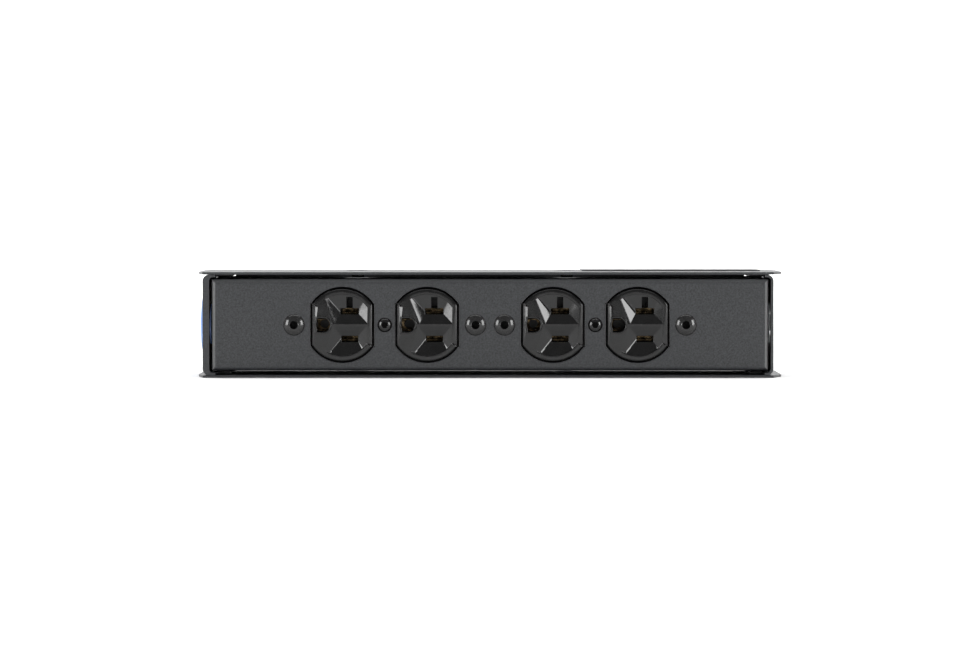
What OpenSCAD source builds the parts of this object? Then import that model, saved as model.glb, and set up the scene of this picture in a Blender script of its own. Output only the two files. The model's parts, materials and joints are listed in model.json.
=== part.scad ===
// Rack power strip: a steel outlet box held inside an open sleeve with rail edges.
// X runs along the strip, the outlets face -Y, and the sleeve stands on Z = 0.

/* [Sleeve] */
// Thickness of the steel sheet of the sleeve, the outlet box and its back panel
sheet = 1.2; // [1:0.1:1.5]
// Width between the two side walls
sleeve_w = 257.8; // [248:0.2:320]
// Height over the top and bottom plates
sleeve_h = 48.6; // [48.4:0.1:60]
// Depth from the front edge to the back edge
sleeve_d = 60; // [58:1:110]
// Thickness of the left side wall, which is folded double
left_wall_t = 3; // [1.2:0.1:3.2]
// How far each plate stands out past the right side wall as a rail
rail = 4.4; // [3.6:0.2:8]
// Length over which a rail tapers in at the front and at the back
rail_lead = 12; // [6:1:16]
// Inner radius of the side channels' bends
bend_r = 1.8; // [1:0.1:3]
// Depth of the side channels' flanges under the plates
flange_w = 9; // [6:0.5:14]
// Width of the flange stub that is left at the front
flange_stub = 2.8; // [2.4:0.2:6]
// How far behind the front edge the full flange starts
flange_setback = 15; // [5:1:17]
// Diameter of the round hole in each side wall
side_hole_d = 19; // [12:0.5:24]
// Distance of the side hole's centre behind the front edge
side_hole_back = 15; // [13:0.5:16]
// Diameter of the access holes over the back panel's screws
access_hole_d = 12; // [8:0.5:16]

/* [Shelf screws] */
// Diameter of the two holes in the bottom plate
shelf_hole_d = 4.5; // [3:0.1:6]
// Hole spacing along the strip
shelf_pitch_x = 200; // [160:1:220]
// Distance of the holes ahead of the back edge
shelf_back_inset = 6; // [4:0.5:8]

/* [Outlet box] */
// Distance from the sleeve's front edge back to the outlet face
front_recess = 0.6; // [0.2:0.1:1.5]
// Depth of the box, from the outlet face to the back of the back panel
box_d = 46; // [44:1:52]
// Clearance between the box and each side wall
side_gap = 1.2; // [0.3:0.1:2]
// Clearance between the box and the channel flanges above and below it
lift_gap = 0.9; // [0.3:0.1:2]
// Outer radius of the bends round the outlet face
edge_r = 2.2; // [1.8:0.1:4]
// Clearance round the back panel inside the box
panel_gap = 0.15; // [0.1:0.05:0.4]
// Depth of the back panel's top and bottom flanges
panel_flange = 10; // [8:0.5:12]
// Distance of the back panel's screws ahead of its outer face
panel_screw_inset = 5; // [4:0.5:6]

/* [Duplex receptacles] */
// Distance between the centres of the two receptacles
duplex_pitch = 96.6; // [95.6:0.1:104]
// Distance between the two outlets of one receptacle
outlet_pitch = 38.9; // [38:0.1:40]
// Distance between the two rivets of one receptacle
strap_hole_pitch = 83.3; // [82:0.1:86]
// Diameter of an outlet's round face
face_d = 33.2; // [33:0.1:34]
// Width between the two flats of an outlet's face
face_flat = 27.6; // [27:0.1:29]
// How far an outlet's face stands out of the box
face_proud = 1.2; // [0.5:0.1:3]
// Radius of the rounded rim of an outlet's face
face_rim = 0.9; // [0.2:0.1:1.1]
// Gap between an outlet's face and the edge of its cut-out
cutout_gap = 0.85; // [0.4:0.05:1.2]
// Gap between an outlet's face and its window in the strap
window_gap = 1; // [0.2:0.05:1.2]
// Length of the mounting strap
strap_l = 94; // [92:0.5:95]
// Height of the mounting strap
strap_w = 37.6; // [36.6:0.1:39]
// Thickness of the mounting strap
strap_t = 1.2; // [1:0.1:1.6]
// Length of the cover and the body behind the strap
body_l = 68; // [66:0.5:70]
// Height of the cover behind the strap
cover_h = 34; // [33.4:0.1:35]
// Thickness of the cover behind the strap
cover_t = 6.6; // [5:0.1:8]
// Height of the body
body_h = 32; // [31:0.1:33]
// Depth of the body behind the cover
body_t = 18; // [16:0.5:20]
// Depth of the funnels round the blade slots
funnel_t = 2.2; // [1:0.1:3]
// Radius that the funnels stay inside
funnel_r = 14.2; // [13.5:0.1:14.6]
// Height of the collar round the ground hole
collar_t = 0.3; // [0.2:0.05:0.5]
// Width of the collar round the ground hole
collar_w = 0.8; // [0.5:0.1:1.2]

/* [Contacts] */
// Thickness of the contact leaves
leaf_t = 0.45; // [0.3:0.05:0.5]
// Thickness of the terminal plates
terminal_t = 0.8; // [0.6:0.1:1]
// Clearance round the contacts in the body
contact_gap = 0.2; // [0.1:0.05:0.3]
// Diameter of a terminal screw's head
terminal_head_d = 6.8; // [6:0.1:7.4]
// Height of a terminal screw's head
terminal_head_t = 1.6; // [1.2:0.1:2]
// Diameter of a terminal screw's shank
terminal_shank_d = 3.4; // [3:0.1:4]

/* [Fasteners] */
// Diameter of a strap rivet's dome
rivet_head_d = 9.9; // [9:0.1:10.5]
// Height of a strap rivet's dome
rivet_head_t = 2.2; // [1.5:0.1:2.6]
// Diameter of the hollow in a rivet's dome
rivet_hollow_d = 3.8; // [2.5:0.1:4]
// Diameter of a rivet's shank
rivet_shank_d = 4.8; // [4.6:0.1:5.2]
// Diameter of the head of the screw between two outlets
face_screw_head_d = 6.7; // [6:0.1:7.4]
// Height of that head
face_screw_head_t = 1.9; // [1.5:0.1:2.2]
// Diameter of that screw's shank
face_screw_shank_d = 3.5; // [3:0.1:4]
// Distance across the flats of its hex socket
face_screw_socket = 2.7; // [2:0.1:3]
// Diameter of the screws that hold the box in the sleeve
sleeve_screw_d = 4; // [3:0.5:5]
// Diameter of the screws that hold the back panel
panel_screw_d = 3; // [2.5:0.5:3.5]
// Radial clearance of a screw or a rivet in its hole
hole_gap = 0.15; // [0.05:0.05:0.3]
// Radial clearance of a screw in its nut
thread_gap = 0.05; // [0.02:0.01:0.1]

/* [Inlet and breaker] */
// Distance of the inlet's and the breaker's centres in from the box's ends
end_inset = 23.7; // [22:0.1:25]
// Width of the inlet's housing
inlet_w = 32; // [30:0.5:33]
// Height of the inlet's housing
inlet_h = 24; // [22:0.5:26]
// Depth of the inlet's housing inside the back panel
inlet_t = 26; // [24:0.5:30]
// How far the inlet's bezel stands out round its housing
bezel_w = 2.8; // [2:0.1:3.4]
// Thickness of the inlet's bezel
bezel_t = 2.6; // [2:0.1:4]
// Thickness of the wall round the inlet's socket
inlet_wall = 1.8; // [1.5:0.1:2.2]
// Depth of the inlet's socket behind the back panel
socket_t = 16; // [14:0.5:18]
// Diameter of the breaker's threaded neck
neck_d = 11; // [10:0.1:12]
// Length of the neck outside the back panel
neck_l = 5.5; // [5:0.1:7]
// Diameter of the breaker's bore
button_bore_d = 7.6; // [6:0.1:8]
// Radial clearance of the button in the bore
button_gap = 0.06; // [0.02:0.01:0.1]
// How far the button stands out of the neck
button_proud = 2.3; // [1:0.1:3]
// How far the button pops out when the breaker trips
button_travel = 3; // [2:0.1:3.5]

/* [Hidden] */
$fn = 64;

// Far enough past a face for a clean cut
past = 1;
left = -1;
right = 1;

// Planes and centres
mid_z = sleeve_h / 2;
rear_y = (sleeve_d + rivet_head_t - front_recess) / 2;
front_y = rear_y - sleeve_d;
face_y = front_y + front_recess;
back_y = face_y + box_d;
inner_x = sleeve_w / 2;
channel_h = sleeve_h - 2 * sheet;
box_w = sleeve_w - 2 * side_gap;
box_h = channel_h - 2 * (sheet + lift_gap);
panel_w = box_w - 2 * (sheet + panel_gap);
panel_h = box_h - 2 * (sheet + panel_gap);
end_x = box_w / 2 - end_inset;

// The back panel reaches past the box into the channels and between their flanges
cover_gap = 0.3;
cover_w = sleeve_w - 2 * cover_gap;
cover_h_low = channel_h - 2 * (sheet + cover_gap);
cover_reach_w = sleeve_w - 2 * (flange_w + cover_gap);
cover_reach_h = channel_h - 2 * cover_gap;

// Screws through the side walls, behind the side hole
sleeve_screw_y = [face_y + 30.8, face_y + 40.5];
sleeve_head_t = 1.6;
sleeve_nut_t = 2.4;
sleeve_screw_end = 0.6;
head_ratio = 1.9;

// Screws through the box's top and bottom into the back panel's flanges
panel_screw_x = [-62, 36];
panel_screw_y = back_y - panel_screw_inset;
panel_head_t = 1.1;
panel_nut_t = 2;

// Blank plate on the top, at the right
rating_size = [83, 34, 0.6];
rating_place = [84, front_y + 38];
rating_r = 3;

// Blue plug in the left wall's hole
plug_fit = 0.1;
plug_rim = 2.2;
plug_rim_t = 1;
plug_inside = 0.5;

// Depths inside the box, from the outlet face's front
strap_y = sheet;
cover_y = strap_y + strap_t;
body_y = cover_y + cover_t;
body_back = body_y + body_t;
strap_r = 4;
strap_fit_w = min(strap_w, box_h - 2 * edge_r);
cover_r = 3;
body_r = 2;

// Slots of one outlet, from its centre: [x0, z0, x1, z1]
neutral_slot = [-0.96, 4.9, 7.5, 7.6];
neutral_stem = [1.94, 7.5, 4.7, 12.8];
line_slot = [-0.43, -7.8, 7.2, -5.1];
ground_x = -8.8;
ground_r = 3.2;
ground_flat = -11.6;

// Mouths of the two funnels: corners in order round the slot
funnel_reach = 17;
neutral_mouth = [[-9.6, funnel_reach], [-3.3, 0.66], [11.55, 0.66], [11.87, funnel_reach]];
line_mouth = [[-4.4, -0.3], [-8.86, -funnel_reach], [11.8, -funnel_reach], [11.3, -0.3]];

// Contacts
leaf_len = 9.5;
leaf_low = 5.05;
leaf_high = 7;
bus_y = body_y + 10;
terminal_z = body_h / 2 + 0.05;
terminal_half = 10;
terminal_screw_x = 5.2;
terminal_screw_y = body_y + 5;
terminal_depth = 6;
ground_bus_y = body_y + 8;
ground_leaf_z = 2.3;
ground_leaf_y = cover_y + 1;
ground_end_x = body_l / 2 + 0.6;
ground_plate_half = 5;
ground_screw_y = body_y + 4.4;
ground_screw_depth = 4;
ground_sight_d = 4;
slot_relief = 0.4;
stem_relief = 0.3;

// Rivets and screws of the face
rivet_x = strap_hole_pitch / 2;
rivet_tail_d = 6.8;
rivet_tail_t = 3.5;
rivet_hollow_t = 6;
face_screw_l = 8;

// Inlet
inlet_x = -end_x;
pin_w = 8;
pin_t = 2;
pin_gap = 0.05;
pin_places = [[-6.5, -3.5], [6.5, -3.5], [0, 4.5]];
pin_tip = 0.6;
tab_w = 6.3;
tab_t = 0.8;
tab_l = 8;
inlet_front_y = back_y - inlet_t;

// Breaker
breaker_x = end_x;
breaker_w = 15;
breaker_h = 34;
breaker_t = 24;
breaker_r = 1.5;
breaker_wall = 2;
breaker_base_t = 3;
chamber_d = 10;
collar_d = 9.2;
button_collar_t = 2;
stop_slack = 0.2;
breaker_nut_af = 14;
breaker_nut_t = 2.4;
breaker_y = back_y - sheet;
breaker_front_y = breaker_y - breaker_t;
terminal_tab_z = 9;
collar_y = breaker_y - breaker_wall - stop_slack - button_travel - button_collar_t;
button_tip_y = back_y + neck_l + button_proud;

// Ground stud on the back panel
stud_x = -66;
stud_z = mid_z - 9;
stud_d = 4;
stud_l = 12;
stud_head_d = 6.6;
stud_head_t = 1;
ring_d = 8.4;
ring_t = 1;
barrel_d = 4.6;
barrel_l = 7;
barrel_drop = 1.3;
stud_nut_af = 7;
stud_nut_t = 3.2;

// Wires
wire_d = 3;
wire_sides = 8;
wire_steps = 4;
wire_gap = 0.5;
behind_y = face_y + body_back;
wire_y = behind_y + 9;
wire_low_y = behind_y + 4;
duplex_end_x = (duplex_pitch + body_l) / 2;
passage_x = (duplex_end_x + end_x - inlet_w / 2) / 2;
breaker_gap_x = (duplex_end_x + end_x - breaker_w / 2) / 2;

// ---- helpers ----

// A flat (x, z) shape made solid from y0 towards the back
module along_y(y0, length) {
    translate([0, y0 + length, 0])
        rotate([90, 0, 0])
            linear_extrude(length)
                children();
}

// A flat (y, z) shape made solid from x0 towards the right
module along_x(x0, length) {
    translate([x0, 0, 0])
        rotate([90, 0, 90])
            linear_extrude(length)
                children();
}

// A flat (x, y) shape made solid from z0 upwards
module along_z(z0, length) {
    translate([0, 0, z0])
        linear_extrude(length)
            children();
}

module round_rect(w, h, r) {
    square([w - 2 * r, h], center = true);
    square([w, h - 2 * r], center = true);
    for (x = [-1, 1], y = [-1, 1])
        translate([x * (w / 2 - r), y * (h / 2 - r)])
            circle(r);
}

// A rectangle given as [x0, z0, x1, z1]
module rect(r, grow = 0) {
    translate([r[0] - grow, r[1] - grow])
        square([r[2] - r[0] + 2 * grow, r[3] - r[1] + 2 * grow]);
}

// Boxes given as [[x0, y0, z0], [x1, y1, z1]]
module boxes(list, grow = 0) {
    for (b = list)
        translate(b[0] - [grow, grow, grow])
            cube(b[1] - b[0] + 2 * [grow, grow, grow]);
}

// A rod from a point on its axis, along X, Y or Z
module rod_x(place, d, length) {
    translate(place)
        rotate([0, 90, 0])
            cylinder(d = d, h = length);
}

module rod_y(place, d, length) {
    translate(place)
        rotate([-90, 0, 0])
            cylinder(d = d, h = length);
}

module rod_z(place, d, length) {
    translate(place)
        cylinder(d = d, h = length);
}

function hex_d(flats) = flats / cos(30);

// A curve through hand-set points, with wire_steps pieces between two of them
function curve_point(a, b, c, d, t) =
    0.5 * (2 * b + (c - a) * t + (2 * a - 5 * b + 4 * c - d) * t * t
    + (3 * b - a - 3 * c + d) * t * t * t);
function clamp_index(i, n) = max(0, min(n - 1, i));
function smooth(p) = [
    for (i = [0:len(p) - 2], k = [0:wire_steps - 1])
        curve_point(
            p[clamp_index(i - 1, len(p))],
            p[i],
            p[i + 1],
            p[clamp_index(i + 2, len(p))],
            k / wire_steps
        ),
    p[len(p) - 1]
];
function unit(v) = v / norm(v);
function heading(p, i) = unit(p[clamp_index(i + 1, len(p))] - p[clamp_index(i - 1, len(p))]);
function side_of(t) = unit(cross(t, abs(t[2]) > 0.9 ? [0, 1, 0] : [0, 0, 1]));

// Rings are carried along the curve, so that the tube doesn't twist
function carried(side, t) = unit(side - (side * t) * t);
function sides_along(p, i = 0, last = undef) =
    i == len(p) ? [] :
    let (s = is_undef(last) ? side_of(heading(p, 0)) : carried(last, heading(p, i)))
        concat([s], sides_along(p, i + 1, s));

module wire(points) {
    p = smooth(points);
    s = sides_along(p);
    n = len(p);
    m = wire_sides;
    rings = [
        for (i = [0:n - 1], k = [0:m - 1])
            let (u = s[i], v = cross(heading(p, i), u), a = 360 * k / m)
                p[i] + wire_d / 2 * (cos(a) * u + sin(a) * v)
    ];
    walls = [
        for (i = [0:n - 2], k = [0:m - 1])
            [i * m + k, (i + 1) * m + k, (i + 1) * m + (k + 1) % m, i * m + (k + 1) % m]
    ];
    start = [for (k = [0:m - 1]) k];
    finish = [for (k = [0:m - 1]) n * m - 1 - k];
    polyhedron(concat(rings, [p[0]]), concat(walls, [start], [finish]));
}

// ---- sleeve ----

module rail_plate(z0) {
    left_x = -inner_x - left_wall_t;
    right_x = inner_x + sheet;
    rail_x = right_x + rail;
    lead = [front_y + rail_lead, rear_y - rail_lead];
    difference() {
        along_z(z0, sheet)
            polygon([
                [left_x, front_y], [right_x, front_y], [rail_x, lead[0]], [rail_x, lead[1]],
                [right_x, rear_y], [left_x, rear_y], [-rail_x, lead[1]], [-rail_x, lead[0]]
            ]);
        for (x = panel_screw_x)
            rod_z([x, panel_screw_y, z0 - past], access_hole_d, sheet + 2 * past);
    }
}

module sleeve_top_plate() {
    color("#35363a")
        rail_plate(sleeve_h - sheet);
}

module sleeve_bottom_plate() {
    color("#35363a")
        difference() {
            rail_plate(0);
            for (x = [-shelf_pitch_x / 2, shelf_pitch_x / 2])
                rod_z([x, rear_y - shelf_back_inset, -past], shelf_hole_d, sheet + 2 * past);
        }
}

// Section of a side channel, from its wall's inner face inwards
module channel_section(flange, wall_t) {
    difference() {
        translate([flange, 0])
            round_rect(2 * (flange + wall_t), channel_h, bend_r + sheet);
        translate([flange, 0])
            round_rect(2 * flange, channel_h - 2 * sheet, bend_r);
        translate([flange, -channel_h])
            square([flange + wall_t + past, 2 * channel_h]);
    }
}

module side_channel(wall_t) {
    hole_x = -inner_x - wall_t - past;
    hole_l = wall_t + 2 * past;
    difference() {
        translate([-inner_x, 0, mid_z]) {
            along_y(front_y, sleeve_d)
                channel_section(flange_stub, wall_t);
            along_y(front_y + flange_setback, sleeve_d - flange_setback)
                channel_section(flange_w, wall_t);
        }
        rod_x([hole_x, front_y + side_hole_back, mid_z], side_hole_d, hole_l);
        for (y = sleeve_screw_y)
            rod_x([hole_x, y, mid_z], sleeve_screw_d + 2 * hole_gap, hole_l);
    }
}

module sleeve_side_left() {
    color("#35363a")
        side_channel(left_wall_t);
}

module sleeve_side_right() {
    color("#35363a")
        mirror([1, 0, 0])
            side_channel(sheet);
}

module hole_plug() {
    place = [-inner_x - left_wall_t - plug_rim_t, front_y + side_hole_back, mid_z];
    stem_d = side_hole_d - 2 * plug_fit;
    color("#7c93c8") {
        rod_x(place, side_hole_d + 2 * plug_rim, plug_rim_t);
        rod_x(place, stem_d, plug_rim_t + left_wall_t + plug_inside);
    }
}

module rating_plate() {
    color("#2b2c2e")
        along_z(sleeve_h, rating_size[2])
            translate(rating_place)
                round_rect(rating_size[0], rating_size[1], rating_r);
}

// One screw through a side wall and the box's wall, at the left
module sleeve_screw(y, wall_t) {
    head_d = sleeve_screw_d * head_ratio;
    length = wall_t + side_gap + sheet + sleeve_nut_t + sleeve_screw_end;
    slot = sleeve_screw_d / 4;
    place = [-inner_x - wall_t - sleeve_head_t, y, mid_z];
    difference() {
        union() {
            rod_x(place, head_d, sleeve_head_t);
            rod_x(place, sleeve_screw_d, sleeve_head_t + length);
        }
        for (turn = [0, 90])
            translate(place)
                rotate([turn, 0, 0])
                    translate([-past, -slot / 2, -sleeve_screw_d / 2])
                        cube([past + sleeve_head_t / 2, slot, sleeve_screw_d]);
    }
}

module sleeve_nut(y) {
    nut_d = 2 * sleeve_screw_d;
    x0 = -box_w / 2 + sheet;
    difference() {
        rod_x([x0, y, mid_z], nut_d, sleeve_nut_t);
        rod_x([x0 - past, y, mid_z], sleeve_screw_d + 2 * thread_gap, sleeve_nut_t + 2 * past);
    }
}

module sleeve_screws() {
    color("#2a2a2c")
        for (y = sleeve_screw_y) {
            sleeve_screw(y, left_wall_t);
            mirror([1, 0, 0])
                sleeve_screw(y, sheet);
        }
}

module sleeve_nuts() {
    color("#b8bcc0")
        for (y = sleeve_screw_y, side = [0, 1])
            mirror([side, 0, 0])
                sleeve_nut(y);
}

// ---- outlet box ----

// The folded box as a block, its walls moved in by inset
module box_block(inset) {
    r = edge_r - inset;
    h = box_h - 2 * inset;
    w = box_w - 2 * inset;
    intersection() {
        along_z(mid_z - h / 2, h)
            translate([0, back_y])
                round_rect(w, 2 * (box_d - inset), r);
        along_x(-w / 2, w)
            translate([back_y, mid_z])
                round_rect(2 * (box_d - inset), h, r);
    }
}

// One outlet's round face with its two flats
module face_outline(gap) {
    intersection() {
        circle(d = face_d + 2 * gap);
        square([face_flat + 2 * gap, face_d + 4 * gap], center = true);
    }
}

// Half the section of a plate with a rounded front edge, its front at the origin
module rim_section(half, length) {
    translate([0, face_rim])
        square([half, length - face_rim]);
    square([half - face_rim, length]);
    translate([half - face_rim, face_rim])
        circle(face_rim);
}

// The same outlet's face as a block with a rounded rim
module face_block(length) {
    translate([0, -face_proud, 0])
        intersection() {
            rotate([-90, 0, 0])
                rotate_extrude()
                    rim_section(face_d / 2, length);
            along_z(-face_d, 2 * face_d) {
                rim_section(face_flat / 2, length);
                mirror([1, 0])
                    rim_section(face_flat / 2, length);
            }
        }
}

module both_outlets() {
    for (x = [-outlet_pitch / 2, outlet_pitch / 2])
        translate([x, 0])
            children();
}

module at_duplex(side) {
    translate([side * duplex_pitch / 2, face_y, mid_z])
        children();
}

module outlet_box() {
    color("#3b3c3f")
        difference() {
            box_block(0);
            box_block(sheet);
            translate([-box_w, back_y - sheet, -past])
                cube([2 * box_w, 2 * box_d, sleeve_h + 2 * past]);
            for (side = [left, right])
                at_duplex(side) {
                    along_y(-past, sheet + 2 * past)
                        both_outlets()
                            face_outline(cutout_gap);
                    for (x = [-rivet_x, rivet_x])
                        rod_y([x, -past, 0], rivet_shank_d + 2 * hole_gap, sheet + 2 * past);
                    rod_y([0, -past, 0], face_screw_shank_d + 2 * hole_gap, sheet + 2 * past);
                }
            for (y = sleeve_screw_y)
                rod_x([-box_w, y, mid_z], sleeve_screw_d + 2 * hole_gap, 2 * box_w);
            for (x = panel_screw_x)
                rod_z([x, panel_screw_y, -past], panel_screw_d + 2 * hole_gap, sleeve_h);
        }
}

module back_panel() {
    color("#3b3c3f")
        difference() {
            translate([0, 0, mid_z]) {
                along_y(back_y - sheet, sheet) {
                    round_rect(cover_w, cover_h_low, bend_r);
                    square([cover_reach_w, cover_reach_h], center = true);
                }
                for (side = [-1, 1])
                    along_y(back_y - panel_flange, panel_flange)
                        translate([0, side * (panel_h - sheet) / 2])
                            square([panel_w, sheet], center = true);
            }
            for (x = panel_screw_x)
                rod_z([x, panel_screw_y, 0], panel_screw_d + 2 * hole_gap, sleeve_h);
            translate([inlet_x, 0, mid_z])
                along_y(back_y - sheet - past, sheet + 2 * past)
                    square([inlet_w + 2 * hole_gap, inlet_h + 2 * hole_gap], center = true);
            rod_y([breaker_x, back_y - sheet - past, mid_z], neck_d + 2 * hole_gap, sheet + 2 * past);
            rod_y([stud_x, back_y - sheet - past, stud_z], stud_d + 2 * thread_gap, sheet + 2 * past);
        }
}

// One of the back panel's screws, on top of the box
module panel_screw(x) {
    z = mid_z + box_h / 2;
    length = 2 * sheet + panel_gap + panel_nut_t;
    socket_d = hex_d(panel_screw_d * 0.6);
    difference() {
        union() {
            rod_z([x, panel_screw_y, z], panel_screw_d * head_ratio, panel_head_t);
            rod_z([x, panel_screw_y, z - length], panel_screw_d, length + panel_head_t);
        }
        translate([x, panel_screw_y, z + panel_head_t / 2])
            cylinder(d = socket_d, h = panel_head_t, $fn = 6);
    }
}

module panel_nut(x) {
    z = mid_z + panel_h / 2 - sheet - panel_nut_t;
    difference() {
        rod_z([x, panel_screw_y, z], 2 * panel_screw_d, panel_nut_t);
        rod_z([x, panel_screw_y, z - past], panel_screw_d + 2 * thread_gap, panel_nut_t + 2 * past);
    }
}

// A copy above and its mirror image below the middle of the box
module above_and_below() {
    children();
    translate([0, 0, 2 * mid_z])
        mirror([0, 0, 1])
            children();
}

module back_panel_screws() {
    color("#2a2a2c")
        above_and_below()
            for (x = panel_screw_x)
                panel_screw(x);
}

module back_panel_nuts() {
    color("#b8bcc0")
        above_and_below()
            for (x = panel_screw_x)
                panel_nut(x);
}

// ---- duplex receptacle, from the middle of its outlet face ----

module ground_outline(grow) {
    translate([ground_x, 0])
        circle(ground_r + grow);
    translate([ground_flat - grow, -ground_r - grow])
        square([ground_x - ground_flat + grow, 2 * (ground_r + grow)]);
}

// Solid between a mouth on the face and a slot at the funnel's foot, run on past the face
module funnel(mouth, slot) {
    x = [slot[0], slot[0], slot[2], slot[2]];
    z = [slot[3], slot[1], slot[1], slot[3]];
    run_on = past / funnel_t;
    foot = [for (i = [0:3]) [x[i], -face_proud + funnel_t, z[i]]];
    lip = [
        for (i = [0:3])
            let (m = [mouth[i][0], -face_proud, mouth[i][1]])
                m + (m - foot[i]) * run_on
    ];
    intersection() {
        hull()
            polyhedron(concat(lip, foot), [[0, 1, 2, 3], [7, 6, 5, 4], [0, 4, 5, 1], [2, 6, 7, 3]]);
        rod_y([0, -face_proud - 2 * past, 0], 2 * funnel_r, funnel_t + 3 * past);
    }
}

module slots(y0, length) {
    along_y(y0, length) {
        rect(neutral_slot);
        rect(neutral_stem);
        rect(line_slot);
        ground_outline(0);
    }
}

module cover() {
    difference() {
        union() {
            along_y(cover_y, cover_t)
                round_rect(body_l, cover_h, cover_r);
            both_outlets()
                face_block(face_proud + cover_y + past);
            along_y(-face_proud - collar_t, collar_t)
                both_outlets()
                    ground_outline(collar_w);
        }
        both_outlets() {
            slots(-face_proud - past, body_y + face_proud + 2 * past);
            funnel(neutral_mouth, neutral_slot);
            funnel(line_mouth, line_slot);
        }
        rod_y([0, 0, 0], face_screw_shank_d + 2 * hole_gap, body_y + past);
    }
}

function outlets_x() = [-outlet_pitch / 2, outlet_pitch / 2];

// Leaves, bus bar and terminal plate of the upper contacts
function blade_leaves() = [
    for (x = outlets_x(), z = [leaf_low, leaf_high])
        [
            [x + neutral_slot[0] + 0.4, body_y + 0.5, z],
            [x + neutral_slot[2] - 0.3, body_y + 0.5 + leaf_len, z + leaf_t]
        ]
];
function blade_bus() = [
    [
        [outlets_x()[0] - 0.6, bus_y, leaf_low],
        [outlets_x()[1] + neutral_slot[2] - 0.3, bus_y + leaf_t, leaf_high + leaf_t]
    ],
    [[-6, bus_y, leaf_high], [6, bus_y + leaf_t, terminal_z + terminal_t]]
];
function terminal_plate() = [
    [
        [-terminal_half, body_y + 1, terminal_z],
        [terminal_half, bus_y + leaf_t, terminal_z + terminal_t]
    ]
];

module blade_contacts() {
    difference() {
        boxes(concat(blade_leaves(), blade_bus(), terminal_plate()));
        for (x = [-terminal_screw_x, terminal_screw_x])
            rod_z([x, terminal_screw_y, terminal_z - past], terminal_shank_d + 2 * thread_gap, 3);
    }
}

// Leaves, bus bar and terminal plate of the ground contacts
function ground_leaves() = [
    for (x = outlets_x(), z = [-ground_leaf_z - leaf_t, ground_leaf_z])
        [
            [x + ground_flat + contact_gap, ground_leaf_y, z],
            [x + ground_x + ground_r - 1.8, ground_bus_y + leaf_t, z + leaf_t]
        ]
];
function ground_bus() = [
    [
        [-ground_end_x - terminal_t, ground_bus_y, -ground_leaf_z - leaf_t],
        [outlets_x()[1] + ground_x + ground_r - 1.8, ground_bus_y + leaf_t, ground_leaf_z + leaf_t]
    ]
];
function ground_plate() = [
    [
        [-ground_end_x - terminal_t, body_y + 1, -ground_plate_half],
        [-ground_end_x, ground_bus_y + leaf_t, ground_plate_half]
    ]
];

module ground_contacts() {
    difference() {
        boxes(concat(ground_leaves(), ground_bus(), ground_plate()));
        rod_x(
            [-ground_end_x - terminal_t - past, ground_screw_y, 0],
            terminal_shank_d + 2 * thread_gap,
            terminal_t + 2 * past
        );
        for (x = outlets_x())
            rod_y([x + ground_x, ground_bus_y - past, 0], ground_sight_d, leaf_t + 2 * past);
    }
}

module body() {
    difference() {
        along_y(body_y, body_t)
            round_rect(body_l, body_h, body_r);
        both_outlets() {
            along_y(body_y - past, leaf_len + past + 1) {
                rect(neutral_slot, slot_relief);
                rect(neutral_stem, stem_relief);
            }
            along_y(body_y - past, leaf_len + past + 1)
                mirror([0, 1])
                    rect(neutral_slot, slot_relief);
            along_y(body_y - past, ground_bus_y - body_y + past + leaf_t)
                rect([ground_flat, -ground_r, ground_x + ground_r, ground_r], contact_gap);
        }
        boxes(blade_bus(), contact_gap);
        mirror([0, 0, 1])
            boxes(blade_bus(), contact_gap);
        boxes(ground_bus(), contact_gap);
        for (x = [-terminal_screw_x, terminal_screw_x])
            rod_z([x, terminal_screw_y, -body_h], terminal_shank_d + 2 * hole_gap, 2 * body_h);
        rod_x(
            [-body_l, ground_screw_y, 0],
            terminal_shank_d + 2 * hole_gap,
            body_l / 2 + ground_screw_depth
        );
    }
}

module strap() {
    difference() {
        along_y(strap_y, strap_t)
            round_rect(strap_l, strap_fit_w, strap_r);
        along_y(strap_y - past, strap_t + 2 * past)
            both_outlets()
                face_outline(window_gap);
        for (x = [-rivet_x, rivet_x])
            rod_y([x, strap_y - past, 0], rivet_shank_d + 2 * hole_gap, strap_t + 2 * past);
        rod_y([0, strap_y - past, 0], face_screw_shank_d + 2 * thread_gap, strap_t + 2 * past);
    }
}

// A slotted terminal screw along +Z, its head's foot at the origin
module terminal_screw(depth) {
    slot_w = 0.9;
    difference() {
        union() {
            rod_z([0, 0, 0], terminal_head_d, terminal_head_t);
            rod_z([0, 0, -depth], terminal_shank_d, depth + terminal_head_t);
        }
        translate([-terminal_head_d, -slot_w / 2, terminal_head_t / 2])
            cube([2 * terminal_head_d, slot_w, terminal_head_t]);
    }
}

module blade_screws() {
    for (x = [-terminal_screw_x, terminal_screw_x])
        translate([x, terminal_screw_y, terminal_z + terminal_t])
            terminal_screw(terminal_depth);
}

module ground_screw() {
    translate([-ground_end_x - terminal_t, ground_screw_y, 0])
        rotate([0, -90, 0])
            terminal_screw(ground_screw_depth);
}

module left_cover() {
    color("#17181a")
        at_duplex(left)
            cover();
}

module right_cover() {
    color("#17181a")
        at_duplex(right)
            cover();
}

module left_body() {
    color("#222325")
        at_duplex(left)
            body();
}

module right_body() {
    color("#222325")
        at_duplex(right)
            body();
}

module left_strap() {
    color("#b8bcc0")
        at_duplex(left)
            strap();
}

module right_strap() {
    color("#b8bcc0")
        at_duplex(right)
            strap();
}

module left_neutral_contacts() {
    color("#b08a4a")
        at_duplex(left)
            blade_contacts();
}

module right_neutral_contacts() {
    color("#b08a4a")
        at_duplex(right)
            blade_contacts();
}

module left_line_contacts() {
    color("#b08a4a")
        at_duplex(left)
            mirror([0, 0, 1])
                blade_contacts();
}

module right_line_contacts() {
    color("#b08a4a")
        at_duplex(right)
            mirror([0, 0, 1])
                blade_contacts();
}

module left_ground_contacts() {
    color("#b08a4a")
        at_duplex(left)
            ground_contacts();
}

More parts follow.
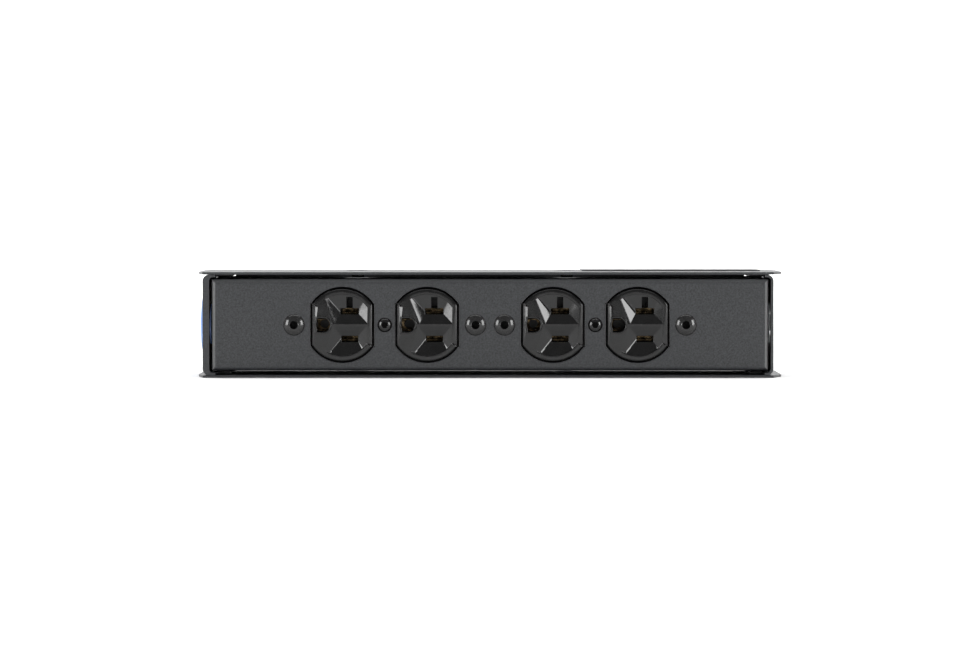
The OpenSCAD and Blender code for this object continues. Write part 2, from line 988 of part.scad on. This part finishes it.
module right_ground_contacts() {
    color("#b08a4a")
        at_duplex(right)
            ground_contacts();
}

module left_neutral_screws() {
    color("#c9ccd0")
        at_duplex(left)
            blade_screws();
}

module right_neutral_screws() {
    color("#c9ccd0")
        at_duplex(right)
            blade_screws();
}

module left_line_screws() {
    color("#c79a4b")
        at_duplex(left)
            mirror([0, 0, 1])
                blade_screws();
}

module right_line_screws() {
    color("#c79a4b")
        at_duplex(right)
            mirror([0, 0, 1])
                blade_screws();
}

module left_ground_screw() {
    color("#2f8f4a")
        at_duplex(left)
            ground_screw();
}

module right_ground_screw() {
    color("#2f8f4a")
        at_duplex(right)
            ground_screw();
}

// ---- rivets and screws of the face ----

// Section of a blind rivet: domed head, hollow, shank and tail
module rivet_section() {
    head_r = rivet_head_d / 2;
    dome_r = (head_r * head_r + rivet_head_t * rivet_head_t) / (2 * rivet_head_t);
    shank_l = sheet + strap_t;
    difference() {
        union() {
            intersection() {
                translate([0, rivet_head_t - dome_r])
                    circle(dome_r, $fn = 128);
                square([head_r, rivet_head_t]);
            }
            translate([0, -shank_l - past])
                square([rivet_shank_d / 2, shank_l + 2 * past]);
            translate([0, -shank_l - rivet_tail_t])
                square([rivet_tail_d / 2, rivet_tail_t]);
        }
        translate([-past, rivet_head_t - rivet_hollow_t])
            square([past + rivet_hollow_d / 2, rivet_hollow_t + past]);
    }
}

module strap_rivets() {
    color("#303134")
        for (side = [left, right])
            at_duplex(side)
                for (x = [-rivet_x, rivet_x])
                    translate([x, 0, 0])
                        rotate([90, 0, 0])
                            rotate_extrude()
                                rivet_section();
}

// Section of a button head screw
module face_screw_section() {
    head_r = face_screw_head_d / 2;
    dome_r = (head_r * head_r + face_screw_head_t * face_screw_head_t) / (2 * face_screw_head_t);
    intersection() {
        translate([0, face_screw_head_t - dome_r])
            circle(dome_r, $fn = 128);
        square([head_r, face_screw_head_t]);
    }
    translate([0, -face_screw_l])
        square([face_screw_shank_d / 2, face_screw_l + face_screw_head_t / 4]);
}

module face_screws() {
    color("#1d1e20")
        for (side = [left, right])
            at_duplex(side)
                rotate([90, 0, 0])
                    difference() {
                        rotate_extrude()
                            face_screw_section();
                        translate([0, 0, face_screw_head_t / 4])
                            cylinder(d = hex_d(face_screw_socket), h = face_screw_head_t, $fn = 6);
                    }
}

// ---- inlet ----

module inlet_housing() {
    bezel_r = 3;
    housing_r = 2;
    color("#1a1b1d")
        translate([inlet_x, 0, mid_z])
            difference() {
                union() {
                    along_y(back_y, bezel_t)
                        round_rect(inlet_w + 2 * bezel_w, inlet_h + 2 * bezel_w, bezel_r);
                    along_y(inlet_front_y, inlet_t)
                        round_rect(inlet_w, inlet_h, housing_r);
                }
                along_y(back_y - socket_t, socket_t + bezel_t + past)
                    round_rect(inlet_w - 2 * inlet_wall, inlet_h - 2 * inlet_wall, bezel_r);
                for (p = pin_places)
                    along_y(inlet_front_y - past, inlet_t)
                        translate(p)
                            square([pin_w + 2 * pin_gap, pin_t + 2 * pin_gap], center = true);
            }
}

module inlet_pins() {
    color("#c9ccd0")
        translate([inlet_x, 0, mid_z])
            for (p = pin_places) {
                along_y(inlet_front_y, inlet_t + pin_tip)
                    translate(p)
                        square([pin_w, pin_t], center = true);
                along_y(inlet_front_y - tab_l, tab_l + past)
                    translate(p)
                        square([tab_w, tab_t], center = true);
            }
}

// ---- breaker ----

module breaker_case() {
    color("#1a1b1d")
        difference() {
            union() {
                translate([breaker_x, 0, mid_z])
                    along_y(breaker_front_y, breaker_t)
                        round_rect(breaker_w, breaker_h, breaker_r);
                rod_y([breaker_x, breaker_y - past, mid_z], neck_d, past + sheet + neck_l);
            }
            rod_y(
                [breaker_x, breaker_front_y - past, mid_z],
                chamber_d,
                breaker_t - breaker_wall + past
            );
            rod_y([breaker_x, breaker_front_y, mid_z], button_bore_d, breaker_t + sheet + neck_l + past);
        }
}

module breaker_base() {
    color("#4a3b2c")
        difference() {
            translate([breaker_x, 0, mid_z])
                along_y(breaker_front_y - breaker_base_t, breaker_base_t)
                    round_rect(breaker_w, breaker_h, breaker_r);
            for (side = [-1, 1])
                translate([breaker_x, 0, mid_z + side * terminal_tab_z])
                    along_y(breaker_front_y - breaker_base_t - past, breaker_base_t + 2 * past)
                        square([tab_w + 2 * pin_gap, tab_t + 2 * pin_gap], center = true);
        }
}

module breaker_terminals() {
    color("#c9ccd0")
        for (side = [-1, 1])
            translate([breaker_x, 0, mid_z + side * terminal_tab_z])
                along_y(breaker_front_y - breaker_base_t - tab_l, breaker_base_t + tab_l)
                    square([tab_w, tab_t], center = true);
}

module breaker_nut() {
    color("#c9ccd0")
        difference() {
            translate([breaker_x, back_y, mid_z])
                rotate([-90, 30, 0])
                    cylinder(d = hex_d(breaker_nut_af), h = breaker_nut_t, $fn = 6);
            rod_y(
                [breaker_x, back_y - past, mid_z],
                neck_d + 2 * thread_gap,
                breaker_nut_t + 2 * past
            );
        }
}

module breaker_button() {
    tip_r = 1;
    d = button_bore_d - 2 * button_gap;
    color("#d8d8d4") {
        rod_y([breaker_x, collar_y, mid_z], collar_d, button_collar_t);
        rod_y([breaker_x, collar_y, mid_z], d, button_tip_y - tip_r - collar_y);
        translate([breaker_x, button_tip_y - tip_r, mid_z])
            rotate([-90, 0, 0])
                cylinder(d1 = d, d2 = d - 2 * tip_r, h = tip_r);
    }
}

// ---- ground stud ----

module ground_stud() {
    color("#c9ccd0") {
        rod_y([stud_x, back_y, stud_z], stud_head_d, stud_head_t);
        rod_y([stud_x, back_y - sheet - stud_l, stud_z], stud_d, sheet + stud_l + stud_head_t);
    }
}

// A ring terminal with its barrel towards +X, its plate's back face at the origin
module ring_terminal() {
    neck = ring_d / 2 + 1;
    difference() {
        union() {
            rod_y([0, -ring_t, 0], ring_d, ring_t);
            translate([0, -ring_t, -barrel_d / 2])
                cube([neck, ring_t, barrel_d]);
            rod_x([neck, -ring_t - barrel_drop, 0], barrel_d, barrel_l);
            translate([neck, -ring_t - barrel_drop, -barrel_d / 2])
                cube([1, ring_t + barrel_drop, barrel_d]);
        }
        rod_y([0, -ring_t - past, 0], stud_d + 2 * hole_gap, ring_t + 2 * past);
    }
}

module ground_rings() {
    color("#c98a5a")
        translate([stud_x, back_y - sheet, stud_z]) {
            ring_terminal();
            translate([0, -ring_t, 0])
                mirror([1, 0, 0])
                    ring_terminal();
        }
}

module ground_nut() {
    y0 = back_y - sheet - 2 * ring_t - stud_nut_t;
    color("#c9ccd0")
        difference() {
            translate([stud_x, y0, stud_z])
                rotate([-90, 0, 0])
                    cylinder(d = hex_d(stud_nut_af), h = stud_nut_t, $fn = 6);
            rod_y([stud_x, y0 - past, stud_z], stud_d + 2 * thread_gap, stud_nut_t + 2 * past);
        }
}

// ---- wires ----

// Place where a wire ends behind a receptacle's upper (1) or lower (-1) terminals
function terminal_end(side, x, up) = [
    side * duplex_pitch / 2 + x,
    face_y + bus_y + leaf_t + wire_gap,
    mid_z + up * (body_h / 2 + (wire_d + wire_gap) / 2)
];
// The same behind a receptacle's ground plate, z above the middle
function ground_end(side, z) = [
    side * duplex_pitch / 2 - body_l / 2 - wire_d / 2 - wire_gap,
    face_y + ground_bus_y + leaf_t + wire_gap,
    mid_z + z
];
function tab_end(p) = [inlet_x + p[0], inlet_front_y - tab_l - wire_gap, mid_z + p[1]];
function breaker_end(up) = [
    breaker_x,
    breaker_front_y - breaker_base_t - tab_l - wire_gap,
    mid_z + up * terminal_tab_z
];
function ring_end(side, layer) = [
    stud_x + side * (ring_d / 2 + 1 + barrel_l + wire_gap),
    back_y - sheet - layer * ring_t - barrel_drop,
    stud_z
];

module line_wires() {
    tab = tab_end(pin_places[1]);
    supply = breaker_end(1);
    load = breaker_end(-1);
    right_end = terminal_end(right, terminal_screw_x, -1);
    right_link = terminal_end(right, -terminal_screw_x, -1);
    left_link = terminal_end(left, terminal_screw_x, -1);
    color("#1c1c1e") {
        wire([
            tab,
            tab + [0, -3, -1],
            tab + [5.5, -3.2, -4.5],
            [-passage_x, tab[1] + 1.3, mid_z - 9],
            [-passage_x, behind_y - 3, mid_z - 9],
            [3.5 - duplex_end_x, behind_y + 5, mid_z - 7.5],
            [stud_x + 6, behind_y + 8, mid_z - 3],
            [0, wire_y, mid_z + 4],
            [breaker_gap_x - 14, wire_y, mid_z + 4],
            [breaker_gap_x, wire_y - 4, mid_z + 6],
            [breaker_gap_x, behind_y - 3, mid_z + 9],
            [breaker_gap_x, supply[1] + 5, mid_z + 9],
            [supply[0] - 6, supply[1] - 2.5, supply[2]],
            [supply[0] - 1, supply[1] - 3.5, supply[2]],
            supply
        ]);
        wire([
            load,
            [load[0] - 1, load[1] - 3.5, load[2]],
            [load[0] - 6, load[1] - 2.5, load[2] - 1],
            [breaker_gap_x, load[1] + 5, mid_z - 12],
            [breaker_gap_x, behind_y - 3, mid_z - 14],
            [breaker_gap_x - 5, wire_low_y, mid_z - 15],
            [right_end[0] + 14, wire_low_y + 1, mid_z - 16],
            right_end + [0, 10, 0],
            right_end
        ]);
        wire([
            right_link,
            right_link + [0, 9, 0],
            [right_link[0] - 14, wire_low_y, mid_z - 13],
            [left_link[0] + 14, wire_low_y, mid_z - 13],
            left_link + [0, 9, 0],
            left_link
        ]);
    }
}

module neutral_wires() {
    tab = tab_end(pin_places[0]);
    left_end = terminal_end(left, -terminal_screw_x, 1);
    left_link = terminal_end(left, terminal_screw_x, 1);
    right_link = terminal_end(right, -terminal_screw_x, 1);
    color("#d6d6d2") {
        wire([
            tab,
            tab + [0, -3.5, 1],
            tab + [3, -6.5, 9],
            tab + [11, -7, 15.5],
            [-passage_x, tab[1] - 1, mid_z + 12],
            [-passage_x, behind_y - 3, mid_z + 12],
            [3.5 - duplex_end_x, wire_low_y + 1, mid_z + 13],
            [left_end[0] - 12, wire_low_y, mid_z + 14],
            left_end + [0, 10, 0],
            left_end
        ]);
        wire([
            left_link,
            left_link + [0, 9, 0],
            [left_link[0] + 14, wire_low_y, mid_z + 13],
            [right_link[0] - 14, wire_low_y, mid_z + 13],
            right_link + [0, 9, 0],
            right_link
        ]);
    }
}

module ground_wires() {
    tab = tab_end(pin_places[2]);
    supply_ring = ring_end(1, 1);
    link_ring = ring_end(-1, 2);
    left_upper = ground_end(left, 3);
    left_lower = ground_end(left, -3);
    right_middle = ground_end(right, 0);
    color("#2f8f4a") {
        wire([
            tab,
            tab + [0, -2.5, 0],
            tab + [6, -3.2, 2],
            [-passage_x, tab[1] + 1.3, mid_z + 7.5],
            [-passage_x, behind_y - 3, mid_z + 7.5],
            [2.3 - duplex_end_x, behind_y + 6, mid_z + 7],
            [stud_x - 2, supply_ring[1] - 4, mid_z + 5],
            [supply_ring[0] + 3.5, supply_ring[1] - 3, mid_z - 2],
            supply_ring + [6, -0.5, 1],
            supply_ring
        ]);
        wire([
            link_ring,
            link_ring + [-4, -1.5, 1],
            [left_upper[0] - 0.5, behind_y + 9, mid_z - 1],
            [left_upper[0], behind_y + 1, left_upper[2] + 0.5],
            left_upper
        ]);
        wire([
            left_lower,
            left_lower + [0, 6.2, 0],
            [4.3 - duplex_end_x, behind_y + 3.5, mid_z - 1.5],
            [-20, behind_y + 3.5, mid_z],
            [right_middle[0] - 7, behind_y + 2, mid_z],
            right_middle + [-0.6, 5, 0],
            right_middle
        ]);
    }
}

sleeve_top_plate();
sleeve_bottom_plate();
sleeve_side_left();
sleeve_side_right();
hole_plug();
rating_plate();
sleeve_screws();
sleeve_nuts();
outlet_box();
back_panel();
back_panel_screws();
back_panel_nuts();
left_cover();
left_body();
left_strap();
left_neutral_contacts();
left_line_contacts();
left_ground_contacts();
left_neutral_screws();
left_line_screws();
left_ground_screw();
right_cover();
right_body();
right_strap();
right_neutral_contacts();
right_line_contacts();
right_ground_contacts();
right_neutral_screws();
right_line_screws();
right_ground_screw();
strap_rivets();
face_screws();
inlet_housing();
inlet_pins();
breaker_case();
breaker_base();
breaker_terminals();
breaker_nut();
breaker_button();
ground_stud();
ground_nut();
ground_rings();
line_wires();
neutral_wires();
ground_wires();
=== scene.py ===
"""Looks of the rack power strip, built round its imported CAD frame. Lengths are in metres."""
import json
import math

import bpy
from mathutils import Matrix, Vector


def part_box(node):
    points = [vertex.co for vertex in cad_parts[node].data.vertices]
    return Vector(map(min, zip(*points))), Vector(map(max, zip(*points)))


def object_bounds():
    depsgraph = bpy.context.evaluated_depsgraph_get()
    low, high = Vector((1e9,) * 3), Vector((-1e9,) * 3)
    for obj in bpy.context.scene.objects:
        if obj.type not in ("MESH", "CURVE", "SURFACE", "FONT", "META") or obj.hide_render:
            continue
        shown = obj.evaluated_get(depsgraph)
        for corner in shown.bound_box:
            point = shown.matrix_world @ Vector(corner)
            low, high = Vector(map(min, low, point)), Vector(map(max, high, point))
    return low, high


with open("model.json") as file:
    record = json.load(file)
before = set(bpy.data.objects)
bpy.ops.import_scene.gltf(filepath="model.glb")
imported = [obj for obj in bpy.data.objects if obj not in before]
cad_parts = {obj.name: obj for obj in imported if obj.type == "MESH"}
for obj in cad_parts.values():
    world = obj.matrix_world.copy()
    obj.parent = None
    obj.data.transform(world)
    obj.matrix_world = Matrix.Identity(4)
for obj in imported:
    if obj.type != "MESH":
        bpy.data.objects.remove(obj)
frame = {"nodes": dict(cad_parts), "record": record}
CAD_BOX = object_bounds()
MM = 0.001
FACE_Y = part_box("outlet_box")[0][1]

# Holes are unpolished from these places on, towards the back
OUTLET_POLISH_END = FACE_Y + 1.3 * MM
RIVET_POLISH_END = FACE_Y
SCREW_POLISH_END = FACE_Y - 0.6 * MM
POLISH_FADE = 0.1 * MM
POLISHED_SPECULAR = 0.42
UNPOLISHED_SPECULAR = 0.03

# The face's bends carry a painted highlight as far back as the first place, and none from the second
BEND_HIGHLIGHT_FULL_Y = FACE_Y + 2.0 * MM
BEND_HIGHLIGHT_END_Y = FACE_Y + 2.6 * MM
# Strength of the painted highlight, a mix towards white, over the side bends and along the top bend
SIDE_BEND_HIGHLIGHT = 0.2
TOP_BEND_HIGHLIGHT = 0.04

# Radius of the softened edges of each material's parts, where the faces turn by more than an angle
EDGE_RADIUS = {
    "powder_coat": 0.25 * MM,
    "receptacle_black": 0.18 * MM,
    "black_rivets": 0.35 * MM,
    "black_screws": 0.15 * MM,
    "zinc_steel": 0.12 * MM,
    "inlet_black": 0.4 * MM,
}
EDGE_RADIUS_DEFAULT = 0.1 * MM
EDGE_ANGLE = math.radians(22)
EDGE_SEGMENTS = 3
WELD_DISTANCE = 0.002 * MM

# The floor is flat as far as its bend, and then sweeps up to a wall
FLOOR_HALF_WIDTH = 8.0
FLOOR_FRONT = -1.3
FLOOR_BEND_START = 2.5
FLOOR_BEND_RADIUS = 1.5
FLOOR_BEND_STEPS = 16
FLOOR_TOP = 5.0

# Lights that stand at both sides: place at the right, width and height, radiance
SIDE_LIGHTS = {
    "strip": ((1.45, -0.75, 0.4), (0.5, 1.1), 13),
    "front": ((0.85, -1.75, 0.18), (0.3, 0.34), 12),
}
# Lights overhead: place, aim, width and height, radiance
OVERHEAD_LIGHTS = {
    "ceiling": ((0, 0.7, 2.3), (0, 0.5, 0), (3.2, 2.0), 4.2),
    "backdrop": ((0, 1.0, 2.0), (0, 4.2, 0.9), (5, 1.4), 8),
}
WORLD_STRENGTH = 0.3

# A far camera with a long lens, aimed at the face; the lens and the sensor are in millimetres
CAMERA_DISTANCE = 1.7
CAMERA_HEIGHT = 0.083
AIM_HEIGHT = 0.0236
CAMERA_LENS = 136.2
CAMERA_SENSOR = 36
CAMERA_CLIP = (0.01, 100)


def grey(level):
    """A neutral colour."""
    return (level, level, level)


# ---- shader helpers ----

class Shader:
    """A material with one Principled shader, and short calls that add nodes to it."""

    def __init__(self, name, **constants):
        self.material = bpy.data.materials.new(name)
        self.material.use_nodes = True
        self.nodes = self.material.node_tree.nodes
        self.links = self.material.node_tree.links
        self.main = self.nodes["Principled BSDF"]
        for socket, value in constants.items():
            self.main.inputs[socket.replace("_", " ")].default_value = value
        self.coordinates = self.nodes.new("ShaderNodeTexCoord").outputs
        self.place = self.coordinates["Object"]

    def noise(self, scale, detail=2.0, roughness=0.5, stretch=None):
        """Soft noise with about `scale` patches to the metre, finer along the axes that are stretched."""
        node = self.nodes.new("ShaderNodeTexNoise")
        node.inputs["Scale"].default_value = scale
        node.inputs["Detail"].default_value = detail
        node.inputs["Roughness"].default_value = roughness
        place = self.place
        if stretch:
            mapping = self.nodes.new("ShaderNodeMapping")
            mapping.inputs["Scale"].default_value = stretch
            self.links.new(place, mapping.inputs["Vector"])
            place = mapping.outputs["Vector"]
        self.links.new(place, node.inputs["Vector"])
        return node.outputs["Fac"]

    def cells(self, scale):
        """Distance to the middle of the nearest of about `scale` cells to the metre."""
        node = self.nodes.new("ShaderNodeTexVoronoi")
        node.inputs["Scale"].default_value = scale
        self.links.new(self.place, node.inputs["Vector"])
        return node.outputs["Distance"]

    def ramp(self, factor, low, high, start=0.3, stop=0.7):
        """Colours or grey levels between low and high as the factor goes from start to stop."""
        node = self.nodes.new("ShaderNodeValToRGB")
        for element, where, value in zip(node.color_ramp.elements, (start, stop), (low, high)):
            shade = value if isinstance(value, tuple) else grey(value)
            element.position = where
            element.color = (*shade, 1)
        self.links.new(factor, node.inputs["Fac"])
        return node.outputs["Color"]

    def bump(self, height, distance, strength, under=None):
        """A rough surface, on top of another one if that is given."""
        node = self.nodes.new("ShaderNodeBump")
        node.inputs["Distance"].default_value = distance
        node.inputs["Strength"].default_value = strength
        self.links.new(height, node.inputs["Height"])
        if under:
            self.links.new(under, node.inputs["Normal"])
        return node.outputs["Normal"]

    def axis(self, axis, coordinate="Object"):
        """One axis of the object's own coordinates, or of its normals."""
        split = self.nodes.new("ShaderNodeSeparateXYZ")
        self.links.new(self.coordinates[coordinate], split.inputs["Vector"])
        return split.outputs[axis]

    def calculate(self, operation, *values):
        """A sum, product or other result of one or two outputs."""
        node = self.nodes.new("ShaderNodeMath")
        node.operation = operation
        for value, socket in zip(values, node.inputs):
            self.links.new(value, socket)
        return node.outputs["Value"]

    def between(self, value, start, stop, low, high):
        """A value carried from start..stop to low..high, and held outside them."""
        node = self.nodes.new("ShaderNodeMapRange")
        limits = {"From Min": start, "From Max": stop, "To Min": low, "To Max": high}
        for socket, limit in limits.items():
            node.inputs[socket].default_value = limit
        self.links.new(value, node.inputs["Value"])
        return node.outputs["Result"]

    def dull_behind(self, polish_end):
        """Leaves the finish unpolished behind a Y position, as in a hole."""
        shine = self.between(
            self.axis("Y"), polish_end, polish_end + POLISH_FADE, POLISHED_SPECULAR, UNPOLISHED_SPECULAR)
        self.set("Specular IOR Level", shine)

    def blend(self, factor, first, second):
        """A colour output that turns to a fixed colour as the factor goes from 0 to 1."""
        node = self.nodes.new("ShaderNodeMixRGB")
        node.inputs["Color2"].default_value = (*second, 1)
        self.links.new(factor, node.inputs["Fac"])
        self.links.new(first, node.inputs["Color1"])
        return node.outputs["Color"]

    def set(self, socket, output):
        """Links an output to a socket of the Principled shader."""
        self.links.new(output, self.main.inputs[socket])


# ---- materials ----

def bend_highlight_amount(s):
    """How strongly the face's bends are mixed towards white as a painted highlight: most at the sides, a
    little along the top.
    """
    near_face = s.between(s.axis("Y"), BEND_HIGHLIGHT_FULL_Y, BEND_HIGHLIGHT_END_Y, low=1.0, high=0.0)
    sideways = s.calculate("ABSOLUTE", s.axis("X", "Normal"))
    sides = s.between(sideways, 0.3, 0.9, low=0.0, high=SIDE_BEND_HIGHLIGHT)
    top = s.between(s.axis("Z", "Normal"), 0.1, 0.8, low=0.0, high=TOP_BEND_HIGHLIGHT)
    return s.calculate("MULTIPLY", s.calculate("MAXIMUM", sides, top), near_face)


def powder_coat(name, with_bend_highlight=False):
    """Fine-grained black powder coat on sheet steel, which can carry a painted highlight over the face's
    bends.
    """
    s = Shader(name, Specular_IOR_Level=0.5)
    dark, light = (0.003, 0.0036, 0.0045), (0.023, 0.0248, 0.0275)
    grain = s.noise(1300, detail=4, roughness=0.7)
    colour = s.ramp(grain, dark, light, start=0.35, stop=0.65)
    # Painted highlight: the coat's colour is mixed towards white over the face's bends
    if with_bend_highlight:
        colour = s.blend(bend_highlight_amount(s), colour, grey(1.0))
    s.set("Base Color", colour)
    s.set("Roughness", s.ramp(s.noise(700), 0.4, 0.5))
    coarse = s.bump(s.noise(900), 0.08 * MM, strength=0.8)
    s.set("Normal", s.bump(s.noise(2000, detail=3), 0.03 * MM, strength=0.6, under=coarse))
    return s.material


def moulded_plastic(name, dark, light, roughness, polish_end=None):
    """Moulded plastic: faint mottling, slight waviness and a trace of scuffing."""
    s = Shader(name, Specular_IOR_Level=0.5)
    if polish_end is not None:
        s.dull_behind(polish_end)
    s.set("Base Color", s.ramp(s.noise(300, detail=3), dark, light))
    scuffs = s.noise(450, detail=4, roughness=0.65)
    s.set("Roughness", s.ramp(scuffs, roughness, roughness + 0.06))
    waves = s.bump(s.noise(90, detail=1), 0.05 * MM, strength=0.4)
    s.set("Normal", s.bump(s.noise(2000), 0.008 * MM, strength=0.4, under=waves))
    return s.material


def plated_metal(name, dark, light, roughness, grain=(1, 1, 1), dark_share=0.3):
    """Plated or rolled metal with a fine grain and uneven shine."""
    s = Shader(name, Metallic=1.0)
    s.set("Base Color", s.ramp(s.noise(400, detail=3), dark, light, start=dark_share))
    shine = s.noise(700, detail=3, stretch=grain)
    s.set("Roughness", s.ramp(shine, roughness, roughness + 0.15))
    s.set("Normal", s.bump(s.noise(1500, stretch=grain), 0.01 * MM, strength=0.5))
    return s.material


def coloured_steel(name, dark, light, roughness, grain=0.02 * MM, polish_end=None):
    """Paint, dye or oxide on a small steel part, slightly uneven."""
    s = Shader(name, Specular_IOR_Level=0.6)
    if polish_end is not None:
        s.dull_behind(polish_end)
    s.set("Base Color", s.ramp(s.noise(700, detail=3), dark, light))
    s.set("Roughness", s.ramp(s.noise(900, detail=3), roughness, roughness + 0.1))
    s.set("Normal", s.bump(s.noise(1600), grain, strength=0.5))
    return s.material


def pressed_board(name):
    """Brown pressed board with darker flecks."""
    s = Shader(name, Specular_IOR_Level=0.4)
    dark, light = (0.05, 0.025, 0.012), (0.16, 0.09, 0.05)
    s.set("Base Color", s.ramp(s.cells(900), dark, light, start=0.1, stop=0.6))
    s.set("Roughness", s.ramp(s.noise(500, detail=3), 0.45, 0.65))
    s.set("Normal", s.bump(s.noise(1500), 0.02 * MM, strength=0.5))
    return s.material


MATERIALS = {
    "powder_coat": powder_coat("powder_coat"),
    "receptacle_black": moulded_plastic(
        "receptacle_black", grey(0.002), grey(0.004), 0.05, OUTLET_POLISH_END),
    "body_grey": moulded_plastic("body_grey", grey(0.02), grey(0.03), 0.4),
    "zinc_steel": plated_metal("zinc_steel", (0.5, 0.51, 0.53), (0.66, 0.67, 0.7), 0.28),
    # Brass tone with random lighter patches, darkened far below bright brass as painted shade for the
    # contacts deep in the slots
    "brass": plated_metal(
        "brass", (0.016, 0.012, 0.007), (0.17, 0.125, 0.07), 0.2, grain=(1, 4, 1), dark_share=0.42),
    "copper": plated_metal("copper", (0.62, 0.36, 0.24), (0.78, 0.5, 0.34), 0.3),
    "screw_green": coloured_steel("screw_green", (0.03, 0.2, 0.07), (0.06, 0.32, 0.12), 0.3),
    "black_rivets": coloured_steel(
        "black_rivets", grey(0.008), grey(0.014), 0.13, 0.003 * MM, RIVET_POLISH_END),
    "black_screws": coloured_steel(
        "black_screws", grey(0.002), grey(0.004), 0.13, 0.003 * MM, SCREW_POLISH_END),
    "plug_blue": moulded_plastic("plug_blue", (0.26, 0.42, 0.88), (0.32, 0.5, 0.95), 0.3),
    "plate_black": moulded_plastic("plate_black", grey(0.02), grey(0.028), 0.35),
    "inlet_black": moulded_plastic("inlet_black", grey(0.008), grey(0.014), 0.25),
    "phenolic": pressed_board("phenolic"),
    "button_white": moulded_plastic("button_white", (0.7, 0.7, 0.66), (0.78, 0.78, 0.74), 0.25),
    "wire_black": moulded_plastic("wire_black", grey(0.015), grey(0.022), 0.4),
    "wire_white": moulded_plastic("wire_white", grey(0.6), grey(0.7), 0.4),
    "wire_green": moulded_plastic("wire_green", (0.03, 0.24, 0.07), (0.05, 0.3, 0.1), 0.4),
}

# The outlet box's own coat, with a painted highlight over its bends
BEND_HIGHLIGHT_COAT = powder_coat("powder_coat_painted_highlight", with_bend_highlight=True)


# ---- CAD nodes ----

def soften(obj, radius, clamp):
    """Rounds a CAD node's sharp edges with modifiers, which leave its own mesh as it is."""
    weld = obj.modifiers.new("weld", "WELD")
    weld.merge_threshold = WELD_DISTANCE
    bevel = obj.modifiers.new("edges", "BEVEL")
    bevel.width = radius
    bevel.segments = EDGE_SEGMENTS
    bevel.limit_method = "ANGLE"
    bevel.angle_limit = EDGE_ANGLE
    bevel.use_clamp_overlap = clamp
    bevel.loop_slide = False
    bevel.harden_normals = False
    normals = obj.modifiers.new("normals", "WEIGHTED_NORMAL")
    normals.keep_sharp = True
    normals.weight = 100


def finish_nodes():
    """Gives each CAD node its material, smooth shading and, but for the round wires, soft edges."""
    for part in frame["record"]["subparts"]:
        node, slot = part["node"], part["material_slot"]
        obj = frame["nodes"][node]
        obj.data.materials.clear()
        obj.data.materials.append(BEND_HIGHLIGHT_COAT if node == "outlet_box" else MATERIALS[slot])
        for polygon in obj.data.polygons:
            polygon.use_smooth = True
        if not node.endswith("wires"):
            # The covers' narrow facets would leave a clamped bevel hardly any radius
            soften(obj, EDGE_RADIUS.get(slot, EDGE_RADIUS_DEFAULT), clamp=not node.endswith("cover"))


# ---- stage, lights and camera ----

def stage_floor():
    """A pale floor that sweeps up behind the object."""
    profile = [(FLOOR_FRONT, 0.0)]
    for step in range(FLOOR_BEND_STEPS + 1):
        angle = math.pi / 2 * step / FLOOR_BEND_STEPS
        y = FLOOR_BEND_START + FLOOR_BEND_RADIUS * math.sin(angle)
        z = FLOOR_BEND_RADIUS * (1 - math.cos(angle))
        profile.append((y, z))
    profile.append((FLOOR_BEND_START + FLOOR_BEND_RADIUS, FLOOR_TOP))
    corners = [(x, y, z) for y, z in profile for x in (-FLOOR_HALF_WIDTH, FLOOR_HALF_WIDTH)]
    faces = [(2 * i, 2 * i + 1, 2 * i + 3, 2 * i + 2) for i in range(len(profile) - 1)]
    mesh = bpy.data.meshes.new("floor")
    mesh.from_pydata(corners, [], faces)
    mesh.polygons.foreach_set("use_smooth", [True] * len(faces))
    floor = bpy.data.objects.new("floor", mesh)
    bpy.context.scene.collection.objects.link(floor)
    s = Shader("floor_paper", Specular_IOR_Level=0.1, Roughness=0.9)
    s.set("Base Color", s.ramp(s.noise(3), grey(0.86), grey(0.88)))
    floor.data.materials.append(s.material)


def softbox(name, place, aim, size, radiance):
    """A rectangular area light whose face has the given radiance."""
    width, height = size
    data = bpy.data.lights.new(name, "AREA")
    data.shape = "RECTANGLE"
    data.size, data.size_y = width, height
    data.energy = radiance * math.pi * width * height
    light = bpy.data.objects.new(name, data)
    light.location = place
    light.rotation_mode = "QUATERNION"
    light.rotation_quaternion = (Vector(aim) - Vector(place)).to_track_quat("-Z", "Y")
    bpy.context.scene.collection.objects.link(light)


def studio():
    """Soft lights at both sides and overhead, in a white world."""
    low, high = CAD_BOX
    middle = (low + high) / 2
    for side, hand in ((-1, "left"), (1, "right")):
        for name, ((x, y, z), size, radiance) in SIDE_LIGHTS.items():
            softbox(f"{name}_{hand}", (side * x, y, z), middle, size, radiance)
    for name, (place, aim, size, radiance) in OVERHEAD_LIGHTS.items():
        softbox(name, place, aim, size, radiance)
    world = bpy.data.worlds.new("studio")
    world.use_nodes = True
    background = world.node_tree.nodes["Background"].inputs
    background["Color"].default_value = (*grey(1), 1)
    background["Strength"].default_value = WORLD_STRENGTH
    bpy.context.scene.world = world
    bpy.context.scene.view_settings.view_transform = "Standard"


def camera():
    """The photograph's viewpoint: far off, before the middle of the face and just above the object."""
    place = Vector((0, FACE_Y - CAMERA_DISTANCE, CAMERA_HEIGHT))
    aim = Vector((0, FACE_Y, AIM_HEIGHT))
    data = bpy.data.cameras.new("camera")
    data.lens = CAMERA_LENS
    data.sensor_width = CAMERA_SENSOR
    data.clip_start, data.clip_end = CAMERA_CLIP
    eye = bpy.data.objects.new("camera", data)
    eye.location = place
    eye.rotation_mode = "QUATERNION"
    eye.rotation_quaternion = (aim - place).to_track_quat("-Z", "Y")
    bpy.context.scene.collection.objects.link(eye)
    bpy.context.scene.camera = eye


camera()
stage_floor()
studio()
finish_nodes()
